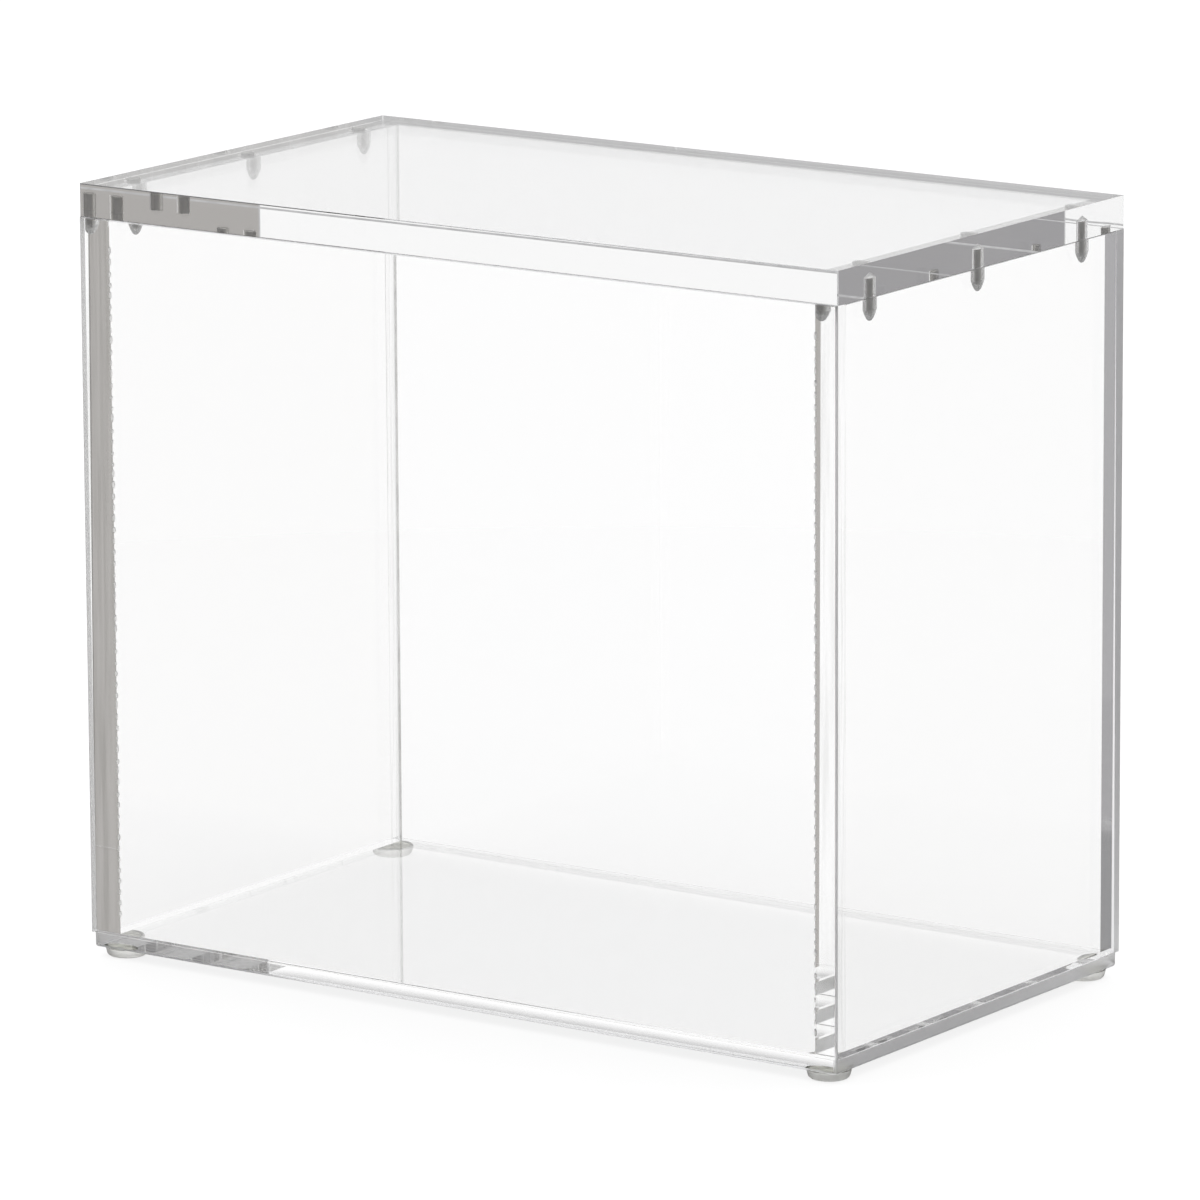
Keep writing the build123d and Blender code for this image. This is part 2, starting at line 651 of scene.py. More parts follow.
    def drill(self, axis: int, sign: int, places: list[Vector], hole: BlindHole) -> None:
        """Drills the same blind hole at several places of one outside plane.

        Args:
            axis: the axis that the plane is square to.
            sign: which of the two planes.
            places: the holes' middles.
            hole: the hole's shape.
        """
        level = self.level(axis, sign)
        radius = hole.steps[0][0]
        rings = self.mark_circles(axis, sign, places, radius, hole.segments)
        for place, ring in zip(places, rings):
            inside = set(ring)
            flat = self.flat_faces(axis, sign)
            lids = [face for face in flat if all(vert in inside for vert in face.verts)]
            bmesh.ops.delete(self.bm, geom=lids, context="FACES_ONLY")
            upper = ring
            for step_radius, depth in hole.steps[1:]:
                lower = []
                for vert in ring:
                    point = place + (vert.co - place) * (step_radius / radius)
                    point[axis] = level - sign * depth
                    lower.append(self.bm.verts.new(point))
                self.skin_between(upper, lower)
                upper = lower
            tip = place.copy()
            tip[axis] = level - sign * hole.tip_depth
            point = self.bm.verts.new(tip)
            for i, vert in enumerate(upper):
                self.bm.faces.new((vert, upper[(i + 1) % len(upper)], point))
        loose = [edge for edge in self.bm.edges if not edge.link_faces]
        bmesh.ops.delete(self.bm, geom=loose, context="EDGES")
        bmesh.ops.recalc_face_normals(self.bm, faces=self.bm.faces[:])

    def skin_between(self, upper: list[bmesh.types.BMVert], lower: list[bmesh.types.BMVert]) -> None:
        """Joins two rings of vertices by faces.

        Args:
            upper: the one ring, in order.
            lower: the other, with as many vertices.
        """
        count = len(upper)
        for i in range(count):
            self.bm.faces.new((upper[i], upper[(i + 1) % count], lower[(i + 1) % count], lower[i]))

    def dress(self, name: str, rule: Callable[[Vector, Vector], Skin], materials: list) -> bpy.types.Object:
        """Makes the slab an object.

        Args:
            name: its name.
            rule: gives what a face is from its middle and its normal.
            materials: the materials, in the order of Skin.

        Returns:
            The object.
        """
        self.bm.normal_update()
        for face in self.bm.faces:
            face.material_index = int(rule(face.calc_center_median(), face.normal))
            face.smooth = is_small(face.normal)
        for edge in self.bm.edges:
            if len(edge.link_faces) == 2 and edge.calc_face_angle(0) > self.CRISP_ANGLE:
                edge.smooth = False
        mesh = bpy.data.meshes.new(name)
        self.bm.to_mesh(mesh)
        self.bm.free()
        for material in materials:
            mesh.materials.append(material)
        thing = bpy.data.objects.new(name, mesh)
        bpy.context.scene.collection.objects.link(thing)
        return thing


def is_small(normal: Vector) -> bool:
    """Whether a face belongs to a round or a hole, not to a flat side."""
    return max(abs(c) for c in normal) < FLAT


def nearest(middle: Vector, places: list[Vector]) -> float:
    """How far a point is from the nearest of some places, seen from above."""
    return min(Vector((middle.x - place.x, middle.y - place.y)).length for place in places)


@dataclass
class Sheets:
    """The five bonded sheets of the box: base plate, two panels and two side walls.

    Most joints are clear. The cement missed one corner and the foot of one wall, which kept a film of air,
    and that corner also shows a groove. In the other rear corner it ran a little way out onto the wall. Two
    ends of the panels were left as sawn, and one wall is cut from cast sheet that is a little thinner at its
    top.
    """

    finishes: Finishes
    pin_places: dict[Side, list[Vector]]
    dry_joint: tuple[End, Side] = (End.REAR, Side.RIGHT)
    dry_foot: Side = Side.LEFT
    sawn_ends: tuple[tuple[End, Side], ...] = ((End.REAR, Side.RIGHT), (End.FRONT, Side.LEFT))
    groove: float = 1.4 * MM
    groove_reach: float = 2.4 * MM
    run_side: Side = Side.LEFT
    run_width: float = 1.2 * MM
    thin_side: Side = Side.LEFT
    top_thinning: float = 0.14 * MM
    bond_gap: float = 0.01 * MM
    corner_round: float = 0.6 * MM
    top_round: float = 0.3 * MM
    base_round: float = 0.8 * MM
    contact_radius: float = 5.6 * MM
    contact_sides: int = 48
    contact_share: float = 0.99
    hole_zone: float = 3.0 * MM
    pin_hole: BlindHole = BlindHole(
        (
            (2.9 * MM, 0.0),
            (2.9 * MM, 3.9 * MM),
            (2.25 * MM, 5.2 * MM),
            (1.5 * MM, 6.3 * MM),
            (0.7 * MM, 6.9 * MM),
        ),
        7.04 * MM,
    )

    def wall_box(self, side: Side) -> tuple[Vector, Vector]:
        """The CAD box of a side wall."""
        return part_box(f"{side.name.lower()}_wall")

    def is_dry(self, end: End, x: float) -> bool:
        """Whether the joint at this end, on the side that x is on, kept a film of air."""
        return end is self.dry_joint[0] and x * self.dry_joint[1].value > 0

    def build(self) -> list[bpy.types.Object]:
        """Builds the five sheets."""
        return [self.base(), *(self.panel(end) for end in End), *(self.wall(side) for side in Side)]

    def hand_over(self, thing: bpy.types.Object, node: str) -> bpy.types.Object:
        """Puts a sheet on the box's body in the place of its CAD node.

        Args:
            thing: the sheet.
            node: the CAD node's name.

        Returns:
            The same sheet.
        """
        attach(thing, BOX_BODY)
        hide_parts(node)
        return thing

    def base(self) -> bpy.types.Object:
        """Builds the base plate, bonded under the walls and over the feet.

        Returns:
            The plate.
        """
        low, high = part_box("base_plate")
        high.z -= self.bond_gap
        slab = Slab(low, high)
        uprights = {(x, y, 0) for x in SIGNS for y in SIGNS}
        under = {(0, -1, -1), (0, 1, -1), (-1, 0, -1), (1, 0, -1)}
        slab.break_edges(uprights | under, self.base_round)
        inner_x = self.wall_box(Side.RIGHT)[0].x
        inner_y = self.wall_box(Side.RIGHT)[1].y
        for sign in SIGNS:
            slab.split(0, sign * inner_x)
            slab.split(1, sign * inner_y)
        feet = [stand_point(f"foot_{end.name.lower()}_{side.name.lower()}") for end in End for side in Side]
        slab.mark_circles(2, -1, feet, self.contact_radius, self.contact_sides)

        def rule(middle: Vector, normal: Vector) -> Skin:
            """Finds what a face of the base plate is.

            Args:
                middle: the face's middle.
                normal: its normal.

            Returns:
                Its kind.
            """
            if is_small(normal):
                return Skin.ROUND
            if normal.z < -FACING:
                stuck = nearest(middle, feet) < self.contact_radius * self.contact_share
                return Skin.BOND if stuck else Skin.FACE
            if normal.z > FACING:
                joined = abs(middle.x) > inner_x or abs(middle.y) > inner_y
                return Skin.BOND if joined else Skin.FACE
            return Skin.SANDED if abs(normal.x) > FACING else Skin.EDGE

        thing = slab.dress("base_sheet", rule, self.finishes.sheet(bond=self.finishes.floor_bond))
        return self.hand_over(thing, "base_plate")

    def panel(self, end: End) -> bpy.types.Object:
        """Builds the front or back panel, which covers the ends of the side walls.

        Args:
            end: which panel.

        Returns:
            The panel.
        """
        node = "front_panel" if end is End.FRONT else "back_panel"
        low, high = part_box(node)
        slab = Slab(low, high)
        out = end.value
        slab.break_edges({(-1, out, 0), (1, out, 0)}, self.corner_round)
        slab.break_edges({(0, out, 1), (0, -out, 1)}, self.top_round)
        if end is self.dry_joint[0]:
            grooved = self.dry_joint[1].value
            slab.break_edges({(grooved, -out, 0)}, self.groove, 1)
            slab.pull(0, grooved * (high.x - self.groove), self.groove - self.groove_reach)
        inner_x = self.wall_box(Side.RIGHT)[0].x
        base_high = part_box("base_plate")[1]
        for sign in SIGNS:
            slab.split(0, sign * inner_x)
            slab.split(0, sign * base_high.x)
        slab.split(1, out * base_high.y)

        def rule(middle: Vector, normal: Vector) -> Skin:
            """Finds what a face of a panel is.

            Args:
                middle: the face's middle.
                normal: its normal.

            Returns:
                Its kind.
            """
            if is_small(normal):
                is_groove = normal.y * out < -SLANTED and abs(normal.x) > SLANTED
                return Skin.EDGE if is_groove else Skin.ROUND
            if normal.y * out < -FACING:
                joined = abs(middle.x) >= inner_x and not self.is_dry(end, middle.x)
                return Skin.BOND if joined else Skin.FACE
            if normal.z < -FACING:
                on_base = abs(middle.x) < base_high.x and abs(middle.y) < base_high.y
                return Skin.BOND if on_base else Skin.ROUND
            if abs(normal.x) > FACING and (end, Side(round(normal.x))) in self.sawn_ends:
                return Skin.SANDED
            return Skin.FACE if abs(normal.y) > FACING else Skin.EDGE

        return self.hand_over(slab.dress(f"{end.name.lower()}_sheet", rule, self.finishes.sheet()), node)

    def wall(self, side: Side) -> bpy.types.Object:
        """Builds a side wall with its three tapered holes.

        Args:
            side: which wall.

        Returns:
            The wall.
        """
        low, high = self.wall_box(side)
        low.y += self.bond_gap
        high.y -= self.bond_gap
        slab = Slab(low, high)
        slab.break_edges({(-1, 0, 1), (1, 0, 1)}, self.top_round)
        base_x = side.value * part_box("base_plate")[1].x
        slab.split(0, base_x)
        run_y = high.y - self.run_width
        slab.split(1, run_y)
        if side is self.thin_side:
            slab.thin(side.value, self.top_thinning)
        slab.drill(2, 1, self.pin_places[side], self.pin_hole)

        def rule(middle: Vector, normal: Vector) -> Skin:
            """Finds what a face of a side wall is.

            Args:
                middle: the face's middle.
                normal: its normal.

            Returns:
                Its kind.
            """
            if abs(normal.y) > FLAT and abs(middle.y) > high.y - TOUCH:
                return Skin.FACE if self.is_dry(End(round(normal.y)), middle.x) else Skin.BOND
            if normal.z < -FLAT and middle.z < low.z + TOUCH:
                on_base = abs(middle.x) < abs(base_x)
                return Skin.BOND if on_base and side is not self.dry_foot else Skin.EDGE
            if nearest(middle, self.pin_places[side]) < self.hole_zone:
                on_top = normal.z > FLAT and middle.z > high.z - TOUCH
                return Skin.EDGE if on_top else Skin.DRILLED
            if is_small(normal):
                return Skin.ROUND
            if side is self.run_side and normal.x * side.value < -FACING and middle.y > run_y:
                return Skin.RUN
            return Skin.FACE if abs(normal.x) > FACING else Skin.EDGE

        name = f"{side.name.lower()}_wall"
        return self.hand_over(slab.dress(f"{name}_sheet", rule, self.finishes.sheet()), name)


@dataclass
class Lid:
    """The thick slab lid, polished all round, with a snug blind hole for each pin."""

    finishes: Finishes
    pin_places: dict[Side, list[Vector]]
    edge_round: float = 0.3 * MM
    under_round: float = 0.15 * MM
    rest_gap: float = 0.05 * MM
    pin_hole: BlindHole = BlindHole(((2.4 * MM, 0.0), (2.4 * MM, 4.75 * MM)), 6.19 * MM)
    hole_zone: float = 2.45 * MM
    glued_side: Side = Side.LEFT

    def build(self) -> bpy.types.Object:
        """Builds the lid, resting on the walls over a film of air.

        Returns:
            The lid.
        """
        low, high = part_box("lid")
        low.z += self.rest_gap
        slab = Slab(low, high)
        slab.break_edges({(x, y, 0) for x in SIGNS for y in SIGNS}, self.edge_round)
        slab.break_edges({(0, y, 1) for y in SIGNS}, self.edge_round)
        slab.break_edges({(0, y, -1) for y in SIGNS}, self.under_round)
        places = [place for side in Side for place in self.pin_places[side]]
        slab.drill(2, -1, places, self.pin_hole)

        def rule(middle: Vector, normal: Vector) -> Skin:
            """Finds what a face of the lid is, whose holes are filled with glue on one side only.

            Args:
                middle: the face's middle.
                normal: its normal.

            Returns:
                Its kind.
            """
            if is_small(normal):
                if nearest(middle, places) >= self.hole_zone:
                    return Skin.ROUND
                return Skin.BOND if middle.x * self.glued_side.value > 0 else Skin.DRILLED
            return Skin.FACE if abs(normal.z) > FACING else Skin.EDGE

        look = self.finishes
        # The lid's face, edge and round finishes are dimmed grey as painted shade
        materials = look.sheet(face=look.lid_face, edge=look.lid_edge, round=look.lid_round)
        thing = slab.dress("lid_slab", rule, materials)
        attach(thing, LID_BODY)
        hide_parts("lid")
        return thing


# Turned parts and beads


def new_tree(name: str, inputs: dict[str, tuple[str, ...]], output: str) -> bpy.types.NodeTree:
    """Starts a tree of Geometry Nodes.

    Args:
        name: the tree's name.
        inputs: the names of its inputs, under their type.
        output: the name of the geometry that it gives.

    Returns:
        The tree.
    """
    tree = bpy.data.node_groups.new(name, "GeometryNodeTree")
    for kind, names in inputs.items():
        for item in names:
            tree.interface.new_socket(item, in_out="INPUT", socket_type=f"NodeSocket{kind}")
    tree.interface.new_socket(output, in_out="OUTPUT", socket_type="NodeSocketGeometry")
    return tree


def grow(
    tree: bpy.types.NodeTree, name: str, places: list[Vector], values: dict[str, object]
) -> bpy.types.Object:
    """Runs a tree of Geometry Nodes on some places and keeps its result as a plain mesh.

    Args:
        tree: the tree.
        name: the new object's name.
        places: the points that the tree starts from.
        values: the tree's inputs by name.

    Returns:
        The object.
    """
    seed = bpy.data.meshes.new(f"{name}_places")
    seed.from_pydata([tuple(place) for place in places], [], [])
    holder = bpy.data.objects.new(f"{name}_places", seed)
    bpy.context.scene.collection.objects.link(holder)
    modifier = holder.modifiers.new("grown", "NODES")
    modifier.node_group = tree
    sockets = {item.name: item.identifier for item in tree.interface.items_tree if item.in_out == "INPUT"}
    for key, value in values.items():
        modifier[sockets[key]] = value
    holder.update_tag()
    bpy.context.view_layer.update()
    mesh = bpy.data.meshes.new_from_object(holder.evaluated_get(bpy.context.evaluated_depsgraph_get()))
    mesh.name = name
    bpy.data.objects.remove(holder)
    bpy.data.meshes.remove(seed)
    thing = bpy.data.objects.new(name, mesh)
    bpy.context.scene.collection.objects.link(thing)
    return thing


class TurnedTree:
    """Geometry Nodes that turn one round part with rounded ends and stand a copy of it at every place."""

    INPUTS = {
        "Geometry": ("Places",),
        "Float": ("Radius", "Length", "Taper", "Bottom Round", "Top Round"),
        "Int": ("Steps", "Sides"),
        "Material": ("Side Finish", "Top Finish", "Bottom Finish"),
    }
    END_FACING = 0.995
    CRISP_ANGLE = math.radians(35)

    def __init__(self) -> None:
        """Builds the tree."""
        self.tree = new_tree("turned part at each place", self.INPUTS, "Parts")
        self.graph = Graph(self.tree)
        self.given = self.graph.add("NodeGroupInput").outputs
        self.place_copies(self.turned_mesh())

    def turned_mesh(self) -> Socket:
        """Turns the part: a circle swept up its axis, with the radius that each station asks for.

        Returns:
            The part's mesh.
        """
        graph, given = self.graph, self.given
        steps = given["Steps"]
        last = graph.math("MULTIPLY_ADD", steps, 2.0, 1.0)
        index = graph.add("GeometryNodeInputIndex").outputs[0]
        is_top = graph.math("GREATER_THAN", index, steps)
        from_end = graph.math("SUBTRACT", last, index)
        near = graph.math("MINIMUM", index, from_end)
        angle = graph.math("MULTIPLY", graph.math("DIVIDE", near, steps), math.pi / 2)
        gain = graph.math("SUBTRACT", given["Top Round"], given["Bottom Round"])
        end_round = graph.math("MULTIPLY_ADD", gain, is_top, given["Bottom Round"])
        rise = graph.math("MULTIPLY", end_round, graph.math("SUBTRACT", 1.0, graph.math("COSINE", angle)))
        down_from_top = graph.math("SUBTRACT", given["Length"], graph.math("MULTIPLY", rise, 2.0))
        height = graph.math("MULTIPLY_ADD", is_top, down_from_top, rise)
        share = graph.math("DIVIDE", height, given["Length"])
        side = graph.math("MULTIPLY_ADD", given["Taper"], share, given["Radius"])
        pulled_in = graph.math("MULTIPLY", end_round, graph.math("SUBTRACT", 1.0, graph.math("SINE", angle)))
        radius = graph.math("SUBTRACT", side, pulled_in)
        line = graph.add("GeometryNodeCurvePrimitiveLine", {"Start": (0, 0, 0), "End": (0, 0, 1)}).outputs[0]
        count = graph.math("ADD", last, 1.0)
        axis = graph.add("GeometryNodeResampleCurve", {"Curve": line, "Count": count}).outputs[0]
        point = graph.add("ShaderNodeCombineXYZ", {"Z": height}).outputs[0]
        placed = graph.add("GeometryNodeSetPosition", {"Geometry": axis, "Position": point}).outputs[0]
        circle = graph.add("GeometryNodeCurvePrimitiveCircle", {"Resolution": given["Sides"], "Radius": 1.0})
        swept = {"Curve": placed, "Profile Curve": circle.outputs[0], "Scale": radius, "Fill Caps": True}
        return graph.add("GeometryNodeCurveToMesh", swept).outputs[0]

    def place_copies(self, part: Socket) -> None:
        """Stands the part at each place, and ends in the finishes of its side, top and bottom.

        Args:
            part: the part's mesh.
        """
        graph, given = self.graph, self.given
        copies = {"Points": given["Places"], "Instance": part}
        stood = graph.add("GeometryNodeInstanceOnPoints", copies).outputs[0]
        shown = graph.add("GeometryNodeRealizeInstances", {0: stood}).outputs[0]
        inputs = {"Geometry": shown, "Material": given["Side Finish"]}
        shown = graph.add("GeometryNodeSetMaterial", inputs).outputs[0]
        facing = graph.add("GeometryNodeInputNormal").outputs[0]
        up = graph.add("ShaderNodeSeparateXYZ", {0: facing}).outputs["Z"]
        flat = graph.math("GREATER_THAN", graph.math("ABSOLUTE", up), self.END_FACING)
        chosen = {"Top Finish": graph.math("MULTIPLY", flat, graph.math("GREATER_THAN", up, 0.0))}
        chosen["Bottom Finish"] = graph.math("MULTIPLY", flat, graph.math("LESS_THAN", up, 0.0))
        for name, where in chosen.items():
            inputs = {"Geometry": shown, "Selection": where, "Material": given[name]}
            shown = graph.add("GeometryNodeSetMaterial", inputs).outputs[0]
        graph.add("NodeGroupOutput", {"Parts": shown})

    def make(self, name: str, places: list[Vector], values: dict[str, object]) -> bpy.types.Object:
        """Turns the part at each place.

        Args:
            name: the new object's name.
            places: where the copies stand.
            values: the tree's inputs by name.

        Returns:
            The object.
        """
        thing = grow(self.tree, name, places, values)
        self.settle(thing.data)
        return thing

    def settle(self, mesh: bpy.types.Mesh) -> None:
        """Points a turned mesh's faces outwards, smooths its four-sided ones and gives it crisp rims.

        Args:
            mesh: the mesh.
        """
        bm = bmesh.new()
        bm.from_mesh(mesh)
        bmesh.ops.recalc_face_normals(bm, faces=bm.faces[:])
        for face in bm.faces:
            face.smooth = len(face.verts) == 4
        for edge in bm.edges:
            edge.smooth = edge.calc_face_angle(0) < self.CRISP_ANGLE
        bm.to_mesh(mesh)
        bm.free()


@dataclass
class LocatingPins:
    """Six ground steel dowel pins, standing down out of the lid."""

    finishes: Finishes
    turning: TurnedTree
    nodes: list[str]
    end_round: float = 0.4 * MM
    end_gap: float = 0.02 * MM
    steps: int = 5
    sides: int = 48

    def places(self) -> dict[Side, list[Vector]]:
        """The pins' middles on each side, at their lower ends."""
        points = [stand_point(node) for node in self.nodes]
        return {side: [point for point in points if point.x * side.value > 0] for side in Side}

    def build(self) -> bpy.types.Object:
        """Builds the pins.

        Returns:
            All six, as one mesh on the lid's body.
        """
        low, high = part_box(self.nodes[0])
        values = {
            "Radius": (high.x - low.x) / 2,
            "Length": high.z - low.z - self.end_gap,
            "Taper": 0.0,
            "Bottom Round": self.end_round,
            "Top Round": self.end_round,
            "Steps": self.steps,
            "Sides": self.sides,
            "Side Finish": self.finishes.steel,
            "Top Finish": self.finishes.steel,
            "Bottom Finish": self.finishes.steel,
        }
        found = self.places()
        thing = self.turning.make("locating_pins", found[Side.LEFT] + found[Side.RIGHT], values)
        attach(thing, LID_BODY)
        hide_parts(*self.nodes)
        return thing


@dataclass
class StickOnFeet:
    """Four clear round feet on discs of adhesive."""

    finishes: Finishes
    turning: TurnedTree
    taper: float = 0.7 * MM
    rim_round: float = 0.9 * MM
    top_round: float = 0.12 * MM
    film_round: float = 0.05 * MM
    gap: float = 0.01 * MM
    foot_steps: int = 6
    film_steps: int = 2
    sides: int = 64

    def nodes(self, kind: str) -> list[str]:
        """The CAD nodes of the feet or of the adhesive discs."""
        return [f"{kind}_{end.name.lower()}_{side.name.lower()}" for end in End for side in Side]

    def places(self, kind: str) -> list[Vector]:
        """Where each foot or disc stands."""
        return [stand_point(node) for node in self.nodes(kind)]

    def build(self) -> list[bpy.types.Object]:
        """Builds the feet and the adhesive discs.

        Returns:
            One mesh of the feet and one of the discs, both on the box's body.
        """
        low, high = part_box(self.nodes("foot")[0])
        values = {
            "Radius": (high.x - low.x) / 2 - self.taper,
            "Length": high.z - low.z - self.gap,
            "Taper": self.taper,
            "Bottom Round": self.rim_round,
            "Top Round": self.top_round,
            "Steps": self.foot_steps,
            "Sides": self.sides,
            "Side Finish": self.finishes.foot,
            "Top Finish": self.finishes.wetted,
            "Bottom Finish": self.finishes.foot,
        }
        feet = self.turning.make("stick_on_feet", self.places("foot"), values)
        low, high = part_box(self.nodes("adhesive")[0])
        values |= {
            "Radius": (high.x - low.x) / 2,
            "Length": high.z - low.z - self.gap,
            "Taper": 0.0,
            "Bottom Round": self.film_round,
            "Top Round": self.film_round,
            "Steps": self.film_steps,
            "Side Finish": self.finishes.adhesive,
            "Bottom Finish": self.finishes.wetted,
        }
        films = self.turning.make("adhesive_discs", self.places("adhesive"), values)
        for thing, kind, slot in ((feet, "foot", "clear_foot"), (films, "adhesive", "foot_adhesive")):
            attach(thing, BOX_BODY)
            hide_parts(*self.nodes(kind))
        return [feet, films]


class BeadTree:
    """Geometry Nodes that set a run of small uneven beads up from every place."""

    INPUTS = {
        "Geometry": ("Places",),
        "Float": ("Height", "Pitch", "Bead Radius", "Bead Length", "Drift"),
        "Int": ("Seed",),
        "Material": ("Finish",),
    }
    SHIFTS = ((-1.0, -1.0, -8.0), (1.0, 1.0, 8.0))
    SCALES = ((0.55, 0.55, 0.6), (1.1, 1.1, 1.3))
    BALL = {"Segments": 10, "Rings": 6, "Radius": 1.0}

    def __init__(self) -> None:
        """Builds the tree."""
        self.tree = new_tree("run of beads at each place", self.INPUTS, "Beads")
        graph = self.graph = Graph(self.tree)
        given = graph.add("NodeGroupInput").outputs
        count = graph.math("FLOOR", graph.math("DIVIDE", given["Height"], given["Pitch"]))
        step = graph.add("ShaderNodeCombineXYZ", {"Z": given["Pitch"]}).outputs[0]
        run = graph.add("GeometryNodeMeshLine", {"Count": count, "Offset": step}, mode="OFFSET").outputs[0]
        copies = {"Points": given["Places"], "Instance": run}
        runs = graph.add("GeometryNodeInstanceOnPoints", copies).outputs[0]
        points = graph.add("GeometryNodeRealizeInstances", {0: runs}).outputs[0]
        shift = {0: self.random(self.SHIFTS, given["Seed"]), 3: given["Drift"]}
        drift = graph.add("ShaderNodeVectorMath", shift, operation="SCALE").outputs[0]
        points = graph.add("GeometryNodeSetPosition", {"Geometry": points, "Offset": drift}).outputs[0]
        ball = graph.add("GeometryNodeMeshUVSphere", self.BALL).outputs[0]
        sides = {"X": given["Bead Radius"], "Y": given["Bead Radius"], "Z": given["Bead Length"]}
        size = graph.add("ShaderNodeCombineXYZ", sides).outputs[0]
        uneven = {0: size, 1: self.random(self.SCALES, given["Seed"])}
        scale = graph.add("ShaderNodeVectorMath", uneven, operation="MULTIPLY").outputs[0]
        placed = {"Points": points, "Instance": ball, "Scale": scale}
        beads = graph.add("GeometryNodeInstanceOnPoints", placed).outputs[0]
        shown = graph.add("GeometryNodeRealizeInstances", {0: beads}).outputs[0]
        shown = graph.add("GeometryNodeSetShadeSmooth", {"Geometry": shown}).outputs[0]
        inputs = {"Geometry": shown, "Material": given["Finish"]}
        graph.add("NodeGroupOutput", {"Beads": graph.add("GeometryNodeSetMaterial", inputs).outputs[0]})

    def random(self, corners: tuple[Triple, Triple], seed: Socket) -> Socket:
        """Adds a random vector between two corners."""
        inputs = {0: corners[0], 1: corners[1], "Seed": seed}
        return self.graph.add("FunctionNodeRandomValue", inputs, data_type="FLOAT_VECTOR").outputs[0]


@dataclass
class CementBeads:
    """Dried cement, squeezed out of the front joints in small uneven beads up their inner corners."""

    finishes: Finishes
    pitch: float = 3.2 * MM
    radius: float = 0.46 * MM
    length: float = 1.0 * MM
    drift: float = 0.05 * MM
    ends: float = 6.0 * MM
    seed: int = 11

    def build(self) -> bpy.types.Object:
        """Builds the beads.

        Returns:
            All of them, as one mesh on the box's body.
        """
        low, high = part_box("right_wall")
        places = [Vector((side.value * low.x, low.y, low.z + self.ends)) for side in Side]
        values = {
            "Height": high.z - low.z - 2 * self.ends,
            "Pitch": self.pitch,
            "Bead Radius": self.radius,
            "Bead Length": self.length,
            "Drift": self.drift,
            "Seed": self.seed,
            "Finish": self.finishes.cement,
        }
        thing = grow(BeadTree().tree, "cement_beads", places, values)
        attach(thing, BOX_BODY)
        return thing


# Studio


@dataclass(frozen=True)
class Softbox:
    """A square lamp that faces the box, in metres and watts."""

    name: str
    place: Triple
    size: float
    power: float
    aim: Triple = (0.0, 0.0, 0.1)

    def hang(self) -> None:
        """Hangs the lamp, out of sight of reflections and of clear sheet."""
        light = bpy.data.lights.new(self.name, "AREA")
        light.shape = "SQUARE"
        light.size = self.size
        light.energy = self.power
        thing = bpy.data.objects.new(self.name, light)
        thing.location = self.place
        thing.rotation_mode = "QUATERNION"
        thing.rotation_quaternion = (Vector(self.aim) - Vector(self.place)).to_track_quat("-Z", "Y")
        thing.visible_glossy = False
        thing.visible_transmission = False
        bpy.context.scene.collection.objects.link(thing)


